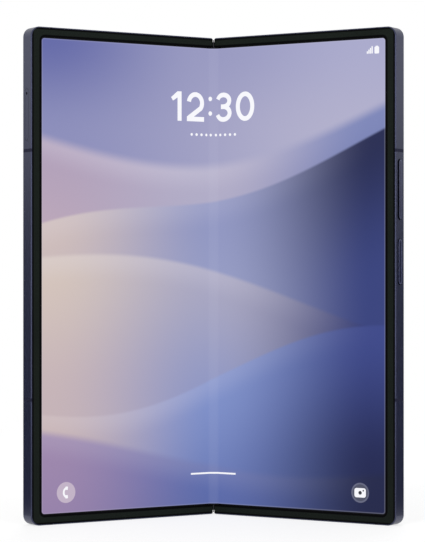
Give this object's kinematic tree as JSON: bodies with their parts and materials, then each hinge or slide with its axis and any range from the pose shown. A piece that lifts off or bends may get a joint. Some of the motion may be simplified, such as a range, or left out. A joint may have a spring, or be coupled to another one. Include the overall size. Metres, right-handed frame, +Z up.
{
  "type": "foldable smartphone",
  "caption": "Book-style foldable phone with an inner folding screen, geared-in-step twin-axis hinge, side keys, card tray and rear cameras.",
  "frame": {"origin": "middle of the bottom of the half-open phone's box, on the surface it stands on", "axes": "+Z up along the fold, +Y from the inner screen's open side towards the spine, +X towards the half with the keys"},
  "size_m": [0.1176, 0.0394, 0.1535],
  "materials": {
    "frame_metal": "satin bead-blasted anodised, navy",
    "spine_metal": "satin anodised, navy",
    "rim_plastic": "soft near-black",
    "screen": "laminated flexible display, lit",
    "steel_plate": "thin rolled plate",
    "hinge_steel": "sintered and machined",
    "band_plastic": "moulded into the rim",
    "cover_glass": "polished, black behind",
    "rear_glass": "satin etched, navy",
    "lens_glass": "polished",
    "ring_metal": "turned and anodised",
    "battery_foil": "wrapped pouch cell",
    "board_green": "solder mask",
    "magnet_metal": "nickel plated",
    "copper": "bare copper",
    "black_plastic": "moulded",
    "shield_metal": "tinned sheet"
  },
  "bodies": {
    "hinge_spine": {"spine_cover": "spine_metal", "hinge_brackets": "hinge_steel", "hinge_end_cap_bottom": "rim_plastic", "hinge_end_cap_top": "rim_plastic", "display_fold_strip": "screen"},
    "left_half": {"left_frame": "frame_metal", "left_bezel": "rim_plastic", "left_display_panel": "screen", "left_support_plate": "steel_plate", "left_rotor_arms": "hinge_steel", "left_antenna_bands": "band_plastic", "left_magnets": "magnet_metal", "left_battery": "battery_foil", "cover_glass": "cover_glass", "cover_display_panel": "cover_glass", "cover_camera": "black_plastic", "receiver_speaker": "black_plastic", "sub_board": "board_green", "sim_reader": "shield_metal"},
    "left_wing": {"left_wing_plate": "steel_plate"},
    "sim_tray": {"sim_tray": "frame_metal"},
    "right_half": {"right_frame": "frame_metal", "right_bezel": "rim_plastic", "right_display_panel": "screen", "right_support_plate": "steel_plate", "right_rotor_arms": "hinge_steel", "right_antenna_bands": "band_plastic", "right_magnets": "magnet_metal", "right_battery": "battery_foil", "rear_glass": "rear_glass", "camera_island": "frame_metal", "camera_lens_rings": "ring_metal", "camera_lens_windows": "lens_glass", "camera_modules": "black_plastic", "flash_lens": "lens_glass", "main_board": "board_green", "board_shield": "shield_metal", "vapor_chamber": "copper", "usb_c_port": "shield_metal", "bottom_board": "board_green", "loudspeaker": "black_plastic", "vibration_motor": "black_plastic", "charging_coil": "copper", "inner_camera": "black_plastic", "key_switches": "black_plastic"},
    "right_wing": {"right_wing_plate": "steel_plate"},
    "volume_key": {"volume_key": "frame_metal"},
    "side_key": {"side_key": "frame_metal"}
  },
  "joints": [
    {"name": "left_fold", "type": "hinge", "parent": "hinge_spine", "child": "left_half", "pos_m": [-0.00145, 0.01534, 0], "axis": [0, 0, 1], "range_deg": [-32, 58], "deforming": ["display_fold_strip"]},
    {"name": "right_fold", "type": "hinge", "parent": "hinge_spine", "child": "right_half", "pos_m": [0.00145, 0.01534, 0], "axis": [0, 0, -1], "range_deg": [-32, 58], "deforming": ["display_fold_strip"]},
    {"name": "left_wing_tilt", "type": "hinge", "parent": "left_half", "child": "left_wing", "pos_m": [-0.00712, 0.01205, 0], "axis": [0, 0, 1], "range_deg": [-3.6, 6.5]},
    {"name": "right_wing_tilt", "type": "hinge", "parent": "right_half", "child": "right_wing", "pos_m": [0.00712, 0.01205, 0], "axis": [0, 0, -1], "range_deg": [-3.6, 6.5]},
    {"name": "sim_tray_slide", "type": "slide", "parent": "left_half", "child": "sim_tray", "axis": [-0.848, -0.5299, 0], "range_m": [0, 0.012]},
    {"name": "volume_key_rock", "type": "hinge", "parent": "right_half", "child": "volume_key", "pos_m": [0.05638, -0.01687, 0.10345], "axis": [0.5299, 0.848, 0], "range_deg": [-1.2, 1.2], "stiffness_Nm_per_rad": 0.05},
    {"name": "side_key_press", "type": "slide", "parent": "right_half", "child": "side_key", "axis": [-0.848, 0.5299, 0], "range_m": [0, 0.00025], "stiffness_N_per_m": 1500}
  ],
  "couplings": [
    {"joint": "right_fold", "follows": "left_fold", "ratio": 1},
    {"joint": "left_wing_tilt", "follows": "left_fold", "ratio": 0.11111},
    {"joint": "right_wing_tilt", "follows": "left_fold", "ratio": 0.11111}
  ]
}
